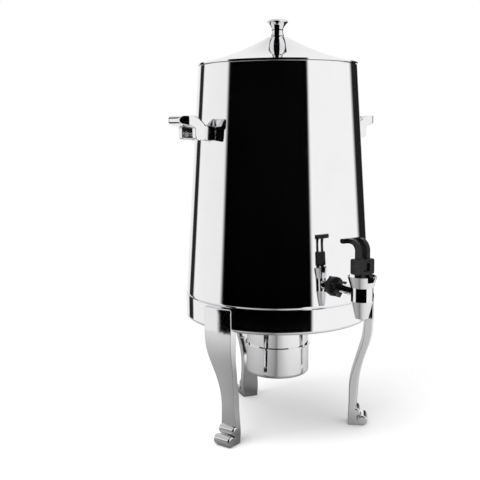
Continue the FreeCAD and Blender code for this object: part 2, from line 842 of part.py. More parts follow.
def make_hanger():
    hanger = new_body("burner_hanger")
    ring = draw_circle(new_sketch(hanger, "ring_circle", "XY_Plane", lift=band_floor),
                       0, 0, s.cup_radius + s.hanger_ring_width)
    pad(hanger, "ring_pad", ring, s.hanger_thickness)
    half = s.hanger_arm_width / 2
    arm_reach = hanger_screw_reach + s.hanger_arm_end
    arm = draw_outline(new_sketch(hanger, "arm_outline", "XY_Plane", lift=band_floor), [
        (-arm_reach, -half),
        (-sleeve_radius, -half),
        (-sleeve_radius, half),
        (-arm_reach, half),
    ])
    arm_pad = pad(hanger, "arm_pad", arm, s.hanger_thickness)
    hole = draw_circle(new_sketch(hanger, "screw_circle", "XY_Plane"),
                       -hanger_screw_reach, 0, s.hanger_screw_radius)
    screw_hole = cut_through(hanger, "screw_hole", hole)
    repeat_round(hanger, "arm_positions", [arm_pad, screw_hole], LEG_COUNT)
    bore = draw_circle(new_sketch(hanger, "bore_circle", "XY_Plane"), 0, 0, sleeve_radius)
    cut_through(hanger, "bore", bore)
    turn_with_stand(hanger)

    screws = new_body("hanger_screws")
    nut_top = hanger_top + s.hanger_nut_height
    outline = draw_outline(
        new_sketch(screws, "screw_outline", "XZ_Plane", shift=-hanger_screw_reach), [
            (0, band_bottom - s.hanger_screw_head_height),
            (s.hanger_screw_head_radius, band_bottom - s.hanger_screw_head_height),
            (s.hanger_screw_head_radius, band_bottom),
            (s.hanger_screw_radius, band_bottom),
            (s.hanger_screw_radius, nut_top),
            (0, nut_top),
        ])
    screw = revolve(screws, "screw_turn", outline)
    repeat_round(screws, "arm_positions", [screw], LEG_COUNT)
    turn_with_stand(screws)

    nuts = new_body("hanger_nuts")
    sketch = draw_outline(new_sketch(nuts, "nut_outline", "XY_Plane", lift=hanger_top),
                          hexagon(-hanger_screw_reach, as_size(0), s.hanger_nut_radius))
    draw_circle(sketch, -hanger_screw_reach, 0, s.hanger_screw_radius)
    nut = pad(nuts, "nut_pad", sketch, s.hanger_nut_height)
    repeat_round(nuts, "arm_positions", [nut], LEG_COUNT)
    turn_with_stand(nuts)


def make_burner():
    cup_floor = cup_bottom + s.cup_foot_rise
    foot_radius = s.cup_radius - s.cup_foot_inset
    corner_inner = s.cup_corner_radius - s.cup_wall
    corner_start = s.cup_radius - s.cup_corner_radius
    bead_radius = s.cup_radius + s.cup_bead_width
    turned("burner_cup", [
        (0, cup_floor),
        (foot_radius, cup_floor),
        (foot_radius, cup_bottom),
        (corner_start, cup_bottom),
        (s.cup_radius, cup_bottom + s.cup_corner_radius, s.cup_corner_radius),
        (s.cup_radius, cup_top - s.cup_bead_height),
        (bead_radius, cup_top - s.cup_bead_height),
        (bead_radius, cup_top),
        (cup_inner, cup_top),
        (cup_inner, cup_floor + s.cup_wall + corner_inner),
        (corner_start, cup_floor + s.cup_wall, -corner_inner),
        (0, cup_floor + s.cup_wall),
    ])
    sleeve = turned("burner_sleeve", [
        (sleeve_inner, cup_top - s.sleeve_overlap),
        (sleeve_radius, cup_top - s.sleeve_overlap),
        (sleeve_radius, hanger_top),
        (flange_radius, hanger_top),
        (flange_radius, cover_bottom),
        (sleeve_inner, cover_bottom),
    ])
    vent = draw_circle(new_sketch(sleeve, "vent_circle", "XZ_Plane"),
                       0, hanger_top - s.sleeve_vent_drop, s.sleeve_vent_radius)
    vent_hole = cut_through(sleeve, "vent", vent, both_ways=False)
    repeat_round(sleeve, "vents", [vent_hole], SLEEVE_VENTS)
    cover = turned("burner_cover", [
        (s.cover_bore, cover_bottom),
        (flange_radius, cover_bottom),
        (flange_radius, cover_top),
        (s.cover_bore, cover_top),
    ])
    hole = draw_circle(new_sketch(cover, "rivet_circle", "XY_Plane"),
                       -damper_pivot_reach, 0, s.rivet_radius)
    cut_through(cover, "rivet_hole", hole)
    turn_with_stand(cover)

    damper = new_body("damper")
    disc = draw_circle(new_sketch(damper, "disc_circle", "XY_Plane", lift=damper_bottom),
                       0, 0, damper_radius)
    pad(damper, "disc_pad", disc, s.damper_thickness)
    boss = draw_circle(new_sketch(damper, "boss_circle", "XY_Plane", lift=damper_bottom),
                       -damper_pivot_reach, 0, s.damper_boss_radius)
    pad(damper, "boss_pad", boss, s.damper_thickness)
    half = s.damper_tab_width / 2
    tab_end = damper_tab_reach - half
    tab = draw_outline(new_sketch(damper, "tab_outline", "XY_Plane", lift=damper_bottom), [
        (-damper_pivot_reach, -half),
        (tab_end, -half),
        (tab_end, half),
        (-damper_pivot_reach, half),
    ])
    pad(damper, "tab_pad", tab, s.damper_thickness)
    tip = draw_circle(new_sketch(damper, "tab_tip_circle", "XY_Plane", lift=damper_bottom),
                      tab_end, 0, half)
    pad(damper, "tab_tip_pad", tip, s.damper_thickness)
    hole = draw_circle(new_sketch(damper, "rivet_circle", "XY_Plane"),
                       -damper_pivot_reach, 0, s.rivet_radius + s.pivot_clearance)
    cut_through(damper, "rivet_hole", hole)
    turn_with_stand(damper)

    rivet = new_body("damper_rivet")
    head_bottom = damper_top + s.damper_gap
    outline = draw_outline(
        new_sketch(rivet, "rivet_outline", "XZ_Plane", shift=-damper_pivot_reach), [
            (0, cover_bottom - s.rivet_head_height),
            (s.rivet_head_radius, cover_bottom - s.rivet_head_height),
            (s.rivet_head_radius, cover_bottom),
            (s.rivet_radius, cover_bottom),
            (s.rivet_radius, head_bottom),
            (s.rivet_head_radius, head_bottom),
            (s.rivet_head_radius, head_bottom + s.rivet_head_height),
            (0, head_bottom + s.rivet_head_height),
        ])
    revolve(rivet, "rivet_turn", outline)
    turn_with_stand(rivet)


# Handles

def subtract_tank(body, name):
    """Takes the tank's own cone out of a piece, so that the piece seats on the wall."""
    cone = body.newObject("PartDesign::SubtractiveCone", name)
    cone.setExpression("Radius1", (base_radius + s.wall_fit_gap).text)
    cone.setExpression("Radius2", (s.rim_radius + s.wall_fit_gap).text)
    cone.setExpression("Height", (rim_height - corner_height).text)
    cone.AttachmentSupport = (origin_feature(body, "XY_Plane"), [""])
    cone.MapMode = "FlatFace"
    cone.setExpression("AttachmentOffset.Base.z", corner_height.text)
    return cone


def make_handle(node, turn):
    handle = new_body(node)
    inside = s.rim_radius - s.handle_foot_sink
    grip_outer = shell_radius(handle_base) + s.handle_reach
    grip_inner = grip_outer - s.grip_depth
    heel = grip_outer - s.handle_heel_setback
    foot_top = handle_base + s.handle_foot_thickness
    grip_bottom = handle_base + s.grip_rise
    grip_top = grip_bottom + s.grip_thickness
    profile = draw_outline(new_sketch(handle, "side_outline", "XZ_Plane"), [
        (inside, handle_base),
        (heel - s.handle_heel_radius, handle_base + s.handle_heel_rise),
        (heel, handle_base + s.handle_heel_rise + s.handle_heel_radius, s.handle_heel_radius),
        (heel, foot_top),
        (grip_inner, grip_bottom - s.grip_lip),
        (grip_outer - s.grip_lip, grip_bottom),
        (grip_outer, grip_bottom + s.grip_nose_height, s.grip_nose_round),
        (grip_outer - s.grip_top_inset, grip_top, s.grip_nose_round),
        (grip_inner - s.grip_lip, grip_top),
        (grip_outer - s.grip_slope_setback, foot_top + s.grip_slope_rise, s.grip_slope_round),
        (inside, foot_top),
    ])
    pad(handle, "side_pad", profile, s.grip_half_width * 2, both_ways=True)
    cut_edge = grip_outer + s.grip_corner_radius
    cut_side = s.grip_half_width * 2
    corner_start = grip_outer - s.grip_corner_radius
    for side in (-1, 1):
        nose_side = (s.grip_half_width - s.grip_corner_radius) * side
        flank = draw_outline(new_sketch(handle, "flank_outline", "XY_Plane"), [
            (inside, s.handle_foot_half_width * side),
            (corner_start, s.grip_half_width * side),
            (grip_outer, nose_side, -s.grip_corner_radius * side),
            (cut_edge, nose_side),
            (cut_edge, cut_side * side),
            (inside, cut_side * side),
        ])
        cut_through(handle, "flank", flank)
    gap_corner = grip_inner - s.finger_gap_round
    gap_end_half = s.finger_gap_grip_half - s.finger_gap_round
    gap_start = inside - s.handle_foot_sink
    finger_gap = draw_outline(new_sketch(handle, "finger_gap_outline", "XY_Plane"), [
        (gap_start, -s.finger_gap_foot_half),
        (gap_corner, -s.finger_gap_grip_half),
        (grip_inner, -gap_end_half, s.finger_gap_round),
        (grip_inner, gap_end_half),
        (gap_corner, s.finger_gap_grip_half, s.finger_gap_round),
        (gap_start, s.finger_gap_foot_half),
    ])
    cut_through(handle, "finger_gap", finger_gap)
    subtract_tank(handle, "seat_on_tank")
    for side in (-1, 1):
        sketch = new_sketch(handle, "screw_circle", "YZ_Plane")
        draw_circle(sketch, handle_axis_spacing * side, handle_screw_height, s.handle_screw_radius)
        hole = body_pocket(handle, "screw_hole", sketch,
                           shell_radius(handle_screw_height) + s.handle_screw_depth)
        hole.Reversed = True
    handle.Placement.Rotation = Rotation(Vector(0, 0, 1), turn)


def body_pocket(body, name, sketch, length):
    feature = body.newObject("PartDesign::Pocket", name)
    feature.Profile = sketch
    feature.Type = "Length"
    feature.setExpression("Length", length.text)
    return feature


def make_handles():
    make_handle("handle_right", 0)
    make_handle("handle_left", 180)
    washer_top = handle_screw_height + s.handle_washer_radius
    inner_radius = shell_radius(washer_top) - inner_shift
    washer_edge = handle_axis_spacing + s.handle_washer_radius
    washer_face = (inner_radius * inner_radius - washer_edge * washer_edge).root()
    head_face = washer_face - s.handle_washer_thickness
    screws = new_body("handle_screws")
    screw_end = shell_radius(handle_screw_height) + s.handle_screw_depth
    outline = draw_outline(
        new_sketch(screws, "screw_outline", "XZ_Plane", lift=handle_axis_spacing), [
            (head_face - s.handle_screw_head_height, 0),
            (screw_end, 0),
            (screw_end, s.handle_screw_radius),
            (head_face, s.handle_screw_radius),
            (head_face, s.handle_screw_head_radius),
            (head_face - s.handle_screw_head_height, s.handle_screw_head_radius),
        ])
    screw = revolve(screws, "screw_turn", outline, axis="H_Axis")
    repeat_round(screws, "screw_positions", [screw], 2, mirror_plane="XZ_Plane")
    place(screws, up=handle_screw_height)
    washers = new_body("handle_washers")
    outline = draw_outline(
        new_sketch(washers, "washer_outline", "XZ_Plane", lift=handle_axis_spacing), [
            (head_face, s.handle_screw_radius),
            (washer_face, s.handle_screw_radius),
            (washer_face, s.handle_washer_radius),
            (head_face, s.handle_washer_radius),
        ])
    washer = revolve(washers, "washer_turn", outline, axis="H_Axis")
    repeat_round(washers, "washer_positions", [washer], 2, mirror_plane="XZ_Plane")
    place(washers, up=handle_screw_height)


# Tap

tap_wall = shell_radius(tail_height)
tap_reach = tap_wall + s.tap_stand_off
tail_end = tap_wall - s.shell_wall - s.tail_inside_length
outer_seal_reach = tap_wall + s.outer_seal_thickness
inner_seal_reach = tap_wall - s.shell_wall - s.inner_seal_thickness
tap_barrel_top = tail_height + s.barrel_above_tail
tap_barrel_bottom = tail_height - s.barrel_below_tail
spout_tip_height = tap_barrel_bottom - s.spout_length
chamber_floor = tap_barrel_bottom + s.chamber_floor_rise
bonnet_floor_height = tap_barrel_top + s.bonnet_floor_rise
bonnet_top = tap_barrel_top + s.bonnet_height
bonnet_foot_radius = s.tap_barrel_radius + s.bonnet_lip
lever_pin_height = bonnet_floor_height + s.lever_pin_rise
COLLAR_POINTS = 6
CUT_OVERRUN = 1


def at_tap(body):
    return place(body, along=-tap_reach)


def make_tap_body():
    tap = new_body("tap_body")
    tail = draw_circle(new_sketch(tap, "tail_circle", "XZ_Plane"), 0, tail_height, s.tail_radius)
    tail_pad = pad(tap, "tail", tail, tap_reach - tail_end)
    tail_pad.Reversed = True
    barrel = draw_outline(new_sketch(tap, "barrel_outline", "XZ_Plane"), [
        (0, spout_tip_height),
        (s.spout_tip_radius, spout_tip_height),
        (s.tap_barrel_radius, tap_barrel_bottom),
        (s.tap_barrel_radius, tap_barrel_top),
        (0, tap_barrel_top),
    ])
    revolve(tap, "barrel", barrel)
    cavity = draw_outline(new_sketch(tap, "cavity_outline", "XZ_Plane"), [
        (0, spout_tip_height),
        (s.spout_bore, spout_tip_height),
        (s.spout_bore, chamber_floor),
        (s.chamber_radius, chamber_floor),
        (s.chamber_radius, tap_barrel_top),
        (0, tap_barrel_top),
    ])
    revolve(tap, "cavity", cavity, kind="Groove")
    bore = draw_circle(new_sketch(tap, "tail_bore_circle", "XZ_Plane"),
                       0, tail_height, s.tail_bore)
    cut_through(tap, "tail_bore", bore, both_ways=False)
    at_tap(tap)


def star(centre_up, outer, inner):
    """Corners of a star nut about the tail's axis, points and valleys in turn."""
    corners = []
    for step in range(2 * COLLAR_POINTS):
        angle = math.pi * step / COLLAR_POINTS + math.pi / 2
        radius = outer if step % 2 == 0 else inner
        corners.append((radius * round(math.cos(angle), 9),
                        centre_up + radius * round(math.sin(angle), 9)))
    return corners


def make_tap_fixings():
    collar = new_body("collar_nut")
    collar_radius = s.collar_nut_across / 2
    sketch = draw_outline(new_sketch(collar, "nut_outline", "XZ_Plane", lift=outer_seal_reach),
                          star(tail_height, collar_radius, collar_radius - s.collar_nut_waist))
    draw_circle(sketch, 0, tail_height, s.tail_radius)
    pad(collar, "nut_pad", sketch, s.collar_nut_depth)

    seal = new_body("outer_seal")
    sketch = draw_circle(new_sketch(seal, "seal_circle", "XZ_Plane", lift=inner_seal_reach),
                         0, tail_height, s.seal_radius)
    draw_circle(sketch, 0, tail_height, s.tail_radius)
    pad(seal, "seal_pad", sketch, outer_seal_reach - inner_seal_reach)
    subtract_tank(seal, "seat_on_tank")

    washer_reach = inner_seal_reach - s.inner_washer_thickness
    washer = new_body("inner_washer")
    sketch = draw_circle(new_sketch(washer, "washer_circle", "XZ_Plane", lift=washer_reach),
                         0, tail_height, s.seal_radius)
    draw_circle(sketch, 0, tail_height, s.tail_radius)
    pad(washer, "washer_pad", sketch, s.inner_washer_thickness)

    nut = new_body("inner_nut")
    sketch = draw_outline(
        new_sketch(nut, "nut_outline", "XZ_Plane", lift=washer_reach - s.inner_nut_depth),
        hexagon(as_size(0), tail_height, s.inner_nut_across / 2))
    draw_circle(sketch, 0, tail_height, s.tail_radius)
    pad(nut, "nut_pad", sketch, s.inner_nut_depth)

    fit_shift = inner_shift + s.wall_fit_gap
    disc = doc.addObject("Part::Cylinder", "inner_seal_disc")
    disc.setExpression("Radius", s.seal_radius.text)
    disc.setExpression("Height", (outer_seal_reach - inner_seal_reach).text)
    hole = doc.addObject("Part::Cylinder", "inner_seal_hole")
    hole.setExpression("Radius", s.tail_radius.text)
    hole.setExpression("Height", (outer_seal_reach - inner_seal_reach).text)
    for blank in (disc, hole):
        face_front(blank)
        place(blank, along=-inner_seal_reach, up=tail_height)
    washer_shape = doc.addObject("Part::Cut", "inner_seal_ring")
    washer_shape.Base = disc
    washer_shape.Tool = hole
    inside = doc.addObject("Part::Cone", "tank_inside")
    inside.setExpression("Radius1", (base_radius - fit_shift).text)
    inside.setExpression("Radius2", (s.rim_radius - fit_shift).text)
    inside.setExpression("Height", (rim_height - corner_height).text)
    place(inside, up=corner_height)
    inner_seal = doc.addObject("Part::Common", "inner_seal")
    inner_seal.Base = washer_shape
    inner_seal.Tool = inside
    keep("inner_seal", inner_seal)


stem_top = lever_pin_height + s.stem_above_pin
cup_seat = chamber_floor + s.seat_gap
cup_crown = cup_seat + s.seat_cup_height
stem_flange_top = cup_crown + s.stem_flange_thickness
bonnet_under = bonnet_floor_height - s.bonnet_floor_thickness


def make_valve():
    bonnet = turned("tap_bonnet", [
        (s.stem_radius + s.stem_clearance, bonnet_under),
        (s.chamber_radius - s.bonnet_spigot_wall, bonnet_under),
        (s.chamber_radius - s.bonnet_spigot_wall, tap_barrel_top - s.bonnet_spigot_depth),
        (s.chamber_radius, tap_barrel_top - s.bonnet_spigot_depth),
        (s.chamber_radius, tap_barrel_top),
        (bonnet_foot_radius, tap_barrel_top),
        (s.bonnet_top_radius, bonnet_top),
        (s.bonnet_top_radius - s.bonnet_wall, bonnet_top),
        (bonnet_foot_radius - s.bonnet_wall, bonnet_floor_height),
        (s.stem_radius + s.stem_clearance, bonnet_floor_height),
    ])
    notch_half = s.bonnet_notch_width / 2
    notch = draw_outline(new_sketch(bonnet, "notch_outline", "XZ_Plane"), [
        (-notch_half, bonnet_top - s.bonnet_notch_depth),
        (notch_half, bonnet_top - s.bonnet_notch_depth),
        (notch_half + s.bonnet_notch_flare, bonnet_top + CUT_OVERRUN),
        (-notch_half - s.bonnet_notch_flare, bonnet_top + CUT_OVERRUN),
    ])
    cut_through(bonnet, "notches", notch)
    at_tap(bonnet)

    stem = turned("valve_stem", [
        (0, cup_seat + s.seat_cup_floor),
        (s.stem_spigot_radius, cup_seat + s.seat_cup_floor),
        (s.stem_spigot_radius, cup_crown),
        (s.stem_flange_radius, cup_crown),
        (s.stem_flange_radius, stem_flange_top),
        (s.stem_radius, stem_flange_top),
        (s.stem_radius, stem_top),
        (0, stem_top),
    ])
    pin_hole = draw_circle(new_sketch(stem, "pin_circle", "YZ_Plane"),
                           0, lever_pin_height, s.lever_pin_radius)
    cut_through(stem, "pin_hole", pin_hole)
    at_tap(stem)

    seat_cup = turned("seat_cup", [
        (0, cup_seat),
        (s.seat_cup_radius, cup_seat),
        (s.seat_cup_radius, cup_crown),
        (s.stem_spigot_radius, cup_crown),
        (s.stem_spigot_radius, cup_seat + s.seat_cup_floor),
        (0, cup_seat + s.seat_cup_floor),
    ])
    at_tap(seat_cup)

    spring = new_body("return_spring")
    wire_radius = s.spring_wire / 2
    spring_start = stem_flange_top + s.spring_end_gap + wire_radius
    spring_end = bonnet_under - s.spring_end_gap - wire_radius
    wire = draw_circle(new_sketch(spring, "wire_circle", "XZ_Plane"),
                       s.spring_radius, spring_start, wire_radius)
    coil = spring.newObject("PartDesign::AdditiveHelix", "coil")
    coil.Profile = wire
    coil.ReferenceAxis = (wire, ["V_Axis"])
    coil.Mode = 1
    coil.setExpression("Height", (spring_end - spring_start).text)
    coil.setExpression("Turns", s.spring_turns.text)
    coil.setExpression("Pitch", ((spring_end - spring_start) / s.spring_turns).text)
    at_tap(spring)


block_bottom = lever_pin_height + s.block_rise
block_top = block_bottom + s.block_height
rail_bend_height = block_top + s.rail_straight
rail_top = rail_bend_height + s.rail_bend_radius


def make_lever():
    pin = new_body("lever_pin")
    circle = draw_circle(new_sketch(pin, "pin_circle", "YZ_Plane"),
                         0, lever_pin_height, s.lever_pin_radius)
    pad(pin, "pin_pad", circle, s.lever_pin_length, both_ways=True)
    at_tap(pin)

    lever = new_body("tap_lever")
    depth = s.block_half_depth
    block = draw_outline(new_sketch(lever, "block_outline", "YZ_Plane"), [
        (-depth + s.block_round, block_bottom, s.block_round),
        (depth - s.block_round, block_bottom),
        (depth, block_bottom + s.block_round, s.block_round),
        (depth, block_top - s.block_round),
        (depth - s.block_round, block_top, s.block_round),
        (-depth + s.block_round, block_top),
        (-depth, block_top - s.block_round, s.block_round),
        (-depth, block_bottom + s.block_round),
    ])
    pad(lever, "block", block, s.block_half_width * 2, both_ways=True)
    rail_start = s.rail_half_depth
    bar_bottom = rail_top - s.crossbar_thickness
    bar_round = s.crossbar_thickness / 2
    inner_bend = bar_bottom - rail_bend_height
    bar_end = s.crossbar_reach
    hook = draw_outline(new_sketch(lever, "hook_outline", "YZ_Plane"), [
        (-rail_start, block_top - s.block_round),
        (rail_start, block_top - s.block_round),
        (rail_start, rail_bend_height),
        (rail_start + inner_bend, bar_bottom, -inner_bend),
        (bar_end - bar_round, bar_bottom),
        (bar_end, bar_bottom + bar_round, bar_round),
        (bar_end - bar_round, rail_top, bar_round),
        (s.rail_bend_radius - rail_start, rail_top),
        (-rail_start, rail_bend_height, s.rail_bend_radius),
    ])
    pad(lever, "hook", hook, s.rail_outer_half * 2, both_ways=True)
    crossbar = draw_outline(new_sketch(lever, "crossbar_outline", "YZ_Plane"), [
        (bar_end - s.crossbar_depth, bar_bottom),
        (bar_end - bar_round, bar_bottom),
        (bar_end, bar_bottom + bar_round, bar_round),
        (bar_end - bar_round, rail_top, bar_round),
        (bar_end - s.crossbar_depth, rail_top),
    ])
    pad(lever, "crossbar", crossbar, s.crossbar_half_width * 2, both_ways=True)
    for name, centre, radius in (("cam", -s.cam_offset, s.lever_pin_rise - s.cam_gap),
                                 ("eye", as_size(0), s.cheek_round)):
        sketch = draw_circle(new_sketch(lever, f"{name}_circle", "YZ_Plane"),
                             centre, lever_pin_height, radius)
        pad(lever, name, sketch, s.cheek_outer * 2, both_ways=True)
    root = draw_outline(new_sketch(lever, "root_outline", "YZ_Plane"), [
        (-s.block_half_depth, lever_pin_height),
        (s.cheek_round, lever_pin_height),
        (s.cheek_round, block_bottom + s.block_round),
        (-s.block_half_depth, block_bottom + s.block_round),
    ])
    pad(lever, "cheek_root", root, s.cheek_outer * 2, both_ways=True)
    stem_slot = draw_outline(new_sketch(lever, "stem_slot_outline", "XZ_Plane"), [
        (-s.cheek_gap, lever_pin_height - s.block_half_width),
        (s.cheek_gap, lever_pin_height - s.block_half_width),
        (s.cheek_gap, block_bottom),
        (-s.cheek_gap, block_bottom),
    ])
    cut_through(lever, "stem_slot", stem_slot)
    pin_hole = draw_circle(new_sketch(lever, "pin_circle", "YZ_Plane"),
                           0, lever_pin_height, s.lever_pin_radius + s.pivot_clearance)
    cut_through(lever, "pin_hole", pin_hole)
    front = s.block_half_depth
    gap_sketch = draw_outline(new_sketch(lever, "rail_gap_outline", "XZ_Plane", lift=front), [
        (-s.rail_inner_half, block_top),
        (s.rail_inner_half, block_top),
        (s.rail_inner_half, rail_top + CUT_OVERRUN),
        (-s.rail_inner_half, rail_top + CUT_OVERRUN),
    ])
    body_pocket(lever, "rail_gap", gap_sketch, front + bar_end - s.crossbar_depth)
    half = s.pocket_width / 2
    pocket_bottom = (block_bottom + block_top - s.pocket_height) / 2
    recess = draw_outline(new_sketch(lever, "recess_outline", "XZ_Plane", lift=front), [
        (-half, pocket_bottom),
        (half, pocket_bottom),
        (half, pocket_bottom + s.pocket_height),
        (-half, pocket_bottom + s.pocket_height),
    ])
    body_pocket(lever, "recess", recess, s.pocket_depth)
    groove = draw_outline(new_sketch(lever, "groove_outline", "XZ_Plane", lift=front), [
        (-half, pocket_bottom + s.pocket_height + s.groove_land),
        (half, pocket_bottom + s.pocket_height + s.groove_land),
        (half, block_top + CUT_OVERRUN),
        (-half, block_top + CUT_OVERRUN),
    ])
    body_pocket(lever, "groove", groove, s.groove_depth)
    at_tap(lever)


make_tank()
make_lid()
make_stand_ring()
make_legs()
make_hanger()
make_burner()
make_handles()
make_tap_body()
make_tap_fixings()
make_valve()
make_lever()


# Check and export

def export_parts():
    doc.recompute()
    for item in doc.Objects:
        if "Invalid" in item.State or "Error" in item.State:
            raise RuntimeError(f"{item.Label} failed: {item.State}")
    os.makedirs("parts", exist_ok=True)
    for node, piece in parts.items():
        shape = piece.Shape
        if shape.isNull() or not shape.isValid() or not shape.Solids:
            raise RuntimeError(f"{node} has no valid solid")
        print(f"{node}: {len(shape.Solids)} solid, {shape.Volume:.0f} mm3")
        shape.exportStep(f"parts/{node}.step")


export_parts()
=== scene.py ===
import json
import math

import bpy
from mathutils import Matrix, Vector

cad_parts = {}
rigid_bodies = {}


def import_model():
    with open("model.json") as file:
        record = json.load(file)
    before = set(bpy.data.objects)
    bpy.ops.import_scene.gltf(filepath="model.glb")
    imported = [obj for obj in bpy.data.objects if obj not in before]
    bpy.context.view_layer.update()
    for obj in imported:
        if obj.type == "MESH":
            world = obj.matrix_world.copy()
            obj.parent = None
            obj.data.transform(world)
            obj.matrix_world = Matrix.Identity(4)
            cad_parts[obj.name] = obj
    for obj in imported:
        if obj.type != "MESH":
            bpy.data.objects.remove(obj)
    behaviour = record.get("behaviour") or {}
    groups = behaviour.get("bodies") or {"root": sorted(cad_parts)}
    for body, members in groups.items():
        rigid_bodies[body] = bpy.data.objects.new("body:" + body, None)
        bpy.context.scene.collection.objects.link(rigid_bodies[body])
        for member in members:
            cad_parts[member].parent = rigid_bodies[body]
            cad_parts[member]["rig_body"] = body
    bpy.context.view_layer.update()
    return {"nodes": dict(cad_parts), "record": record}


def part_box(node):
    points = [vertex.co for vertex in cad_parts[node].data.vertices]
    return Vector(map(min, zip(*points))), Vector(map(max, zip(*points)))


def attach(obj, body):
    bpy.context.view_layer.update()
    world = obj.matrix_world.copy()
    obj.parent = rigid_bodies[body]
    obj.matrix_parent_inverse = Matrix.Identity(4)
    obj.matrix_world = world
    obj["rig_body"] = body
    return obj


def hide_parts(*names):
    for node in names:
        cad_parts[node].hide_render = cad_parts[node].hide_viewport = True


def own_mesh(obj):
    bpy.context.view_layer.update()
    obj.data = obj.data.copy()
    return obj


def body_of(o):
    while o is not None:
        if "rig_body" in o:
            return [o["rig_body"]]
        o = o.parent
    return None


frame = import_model()

# Camera, in front of the tank with the tap to the right. Distances are in metres, the azimuth is in
# degrees, the other angles are in radians, and the lens and sensor are in millimetres.
CAMERA_AZIMUTH = -35.0
CAMERA_DISTANCE = 1.04277
CAMERA_HEIGHT = 0.409
CAMERA_PITCH = 0.147
CAMERA_YAW = -0.049
CAMERA_ROLL = -0.007
CAMERA_LENS = 57.927
SENSOR_WIDTH = 36.0
NEAREST_SEEN = 0.01
FARTHEST_SEEN = 50

WHITE = (1.0, 1.0, 1.0, 1.0)


def make_camera():
    pitch, yaw, roll = CAMERA_PITCH, CAMERA_YAW, CAMERA_ROLL
    forward = Vector((math.sin(yaw) * math.cos(pitch), math.cos(yaw) * math.cos(pitch), -math.sin(pitch)))
    level_right = forward.cross(Vector((0, 0, 1))).normalized()
    level_up = level_right.cross(forward)
    right = level_right * math.cos(roll) + level_up * math.sin(roll)
    up = level_up * math.cos(roll) - level_right * math.sin(roll)
    turn = Matrix.Rotation(math.radians(CAMERA_AZIMUTH), 4, "Z")
    pose = Matrix((
        (right.x, up.x, -forward.x, 0),
        (right.y, up.y, -forward.y, -CAMERA_DISTANCE),
        (right.z, up.z, -forward.z, CAMERA_HEIGHT),
        (0, 0, 0, 1),
    ))
    data = bpy.data.cameras.new("camera")
    data.sensor_fit = "HORIZONTAL"
    data.sensor_width = SENSOR_WIDTH
    data.lens = CAMERA_LENS
    data.clip_start = NEAREST_SEEN
    data.clip_end = FARTHEST_SEEN
    camera = bpy.data.objects.new("camera", data)
    camera.matrix_world = turn @ pose
    bpy.context.scene.collection.objects.link(camera)
    bpy.context.scene.camera = camera


# Node helpers

class Nodes:
    """Short way to add and join shader nodes in one tree."""

    def __init__(self, tree):
        tree.nodes.clear()
        self.nodes = tree.nodes
        self.links = tree.links

    def add(self, kind, inputs=None, **settings):
        node = self.nodes.new(kind)
        for name, value in settings.items():
            setattr(node, name, value)
        for name, value in (inputs or {}).items():
            self.feed(node.inputs[name], value)
        return node

    def feed(self, socket, value):
        """Joins a socket to another node's output, or sets it to a plain value."""
        if isinstance(value, bpy.types.NodeSocket):
            self.links.new(value, socket)
        else:
            socket.default_value = value

    def math(self, operation, *values, clamp=False):
        node = self.nodes.new("ShaderNodeMath")
        node.operation = operation
        node.use_clamp = clamp
        for socket, value in zip(node.inputs, values):
            self.feed(socket, value)
        return node.outputs[0]

    def ramp(self, factor, stops):
        """Grey levels, each at its position along the factor."""
        node = self.nodes.new("ShaderNodeValToRGB")
        elements = node.color_ramp.elements
        while len(elements) < len(stops):
            elements.new(1.0)
        for element, (position, level) in zip(elements, stops):
            element.position = position
            element.color = (level, level, level, 1.0)
        self.feed(node.inputs["Fac"], factor)
        return node.outputs["Color"]

    def mix(self, factor, first, second):
        node = self.nodes.new("ShaderNodeMix")
        node.data_type = "RGBA"
        self.feed(node.inputs["Factor"], factor)
        self.feed(node.inputs["A"], first)
        self.feed(node.inputs["B"], second)
        return node.outputs["Result"]

    def noise(self, place, scale, detail, roughness=0.5):
        """Cloudy pattern between 0 and 1."""
        inputs = {"Vector": place, "Scale": scale, "Detail": detail, "Roughness": roughness}
        return self.add("ShaderNodeTexNoise", inputs).outputs["Fac"]

    def bump(self, height, distance, strength=1.0):
        inputs = {"Strength": strength, "Distance": distance, "Height": height}
        return self.add("ShaderNodeBump", inputs)

    def in_view(self, vector):
        """The vector as the camera stands to it: X to the right, Y away and Z up."""
        inputs = {"Vector": vector, "Angle": math.radians(-CAMERA_AZIMUTH)}
        turned = self.add("ShaderNodeVectorRotate", inputs, rotation_type="Z_AXIS")
        return self.add("ShaderNodeSeparateXYZ", {"Vector": turned.outputs["Vector"]}).outputs

    def centred(self, value):
        """Brings a value between -1 and 1 to between 0 and 1, as a ramp needs it."""
        return self.math("MULTIPLY_ADD", value, 0.5, 0.5)


def new_material(name):
    """Material with its nodes, its shader and the place of each point in the piece's own space."""
    material = bpy.data.materials.new(name)
    material.use_nodes = True
    nodes = Nodes(material.node_tree)
    shader = nodes.add("ShaderNodeBsdfPrincipled")
    output = nodes.add("ShaderNodeOutputMaterial")
    nodes.links.new(shader.outputs["BSDF"], output.inputs["Surface"])
    place = nodes.add("ShaderNodeTexCoord").outputs["Object"]
    return material, nodes, shader, place


# Polished metal: patches wiped a little darker, and polishing lines that run round the piece.
WIPED_SHARE = 0.94
LINES_AROUND = (1.0, 1.0, 40.0)
LINE_DEPTH = 2e-5
# Tone and half width of the dark bands of painted shade round a piece.
PAINTED_SHADE_TONE = (0.03, 0.03, 0.03, 1.0)
SHADE_RING_HALF_WIDTH = 0.00045


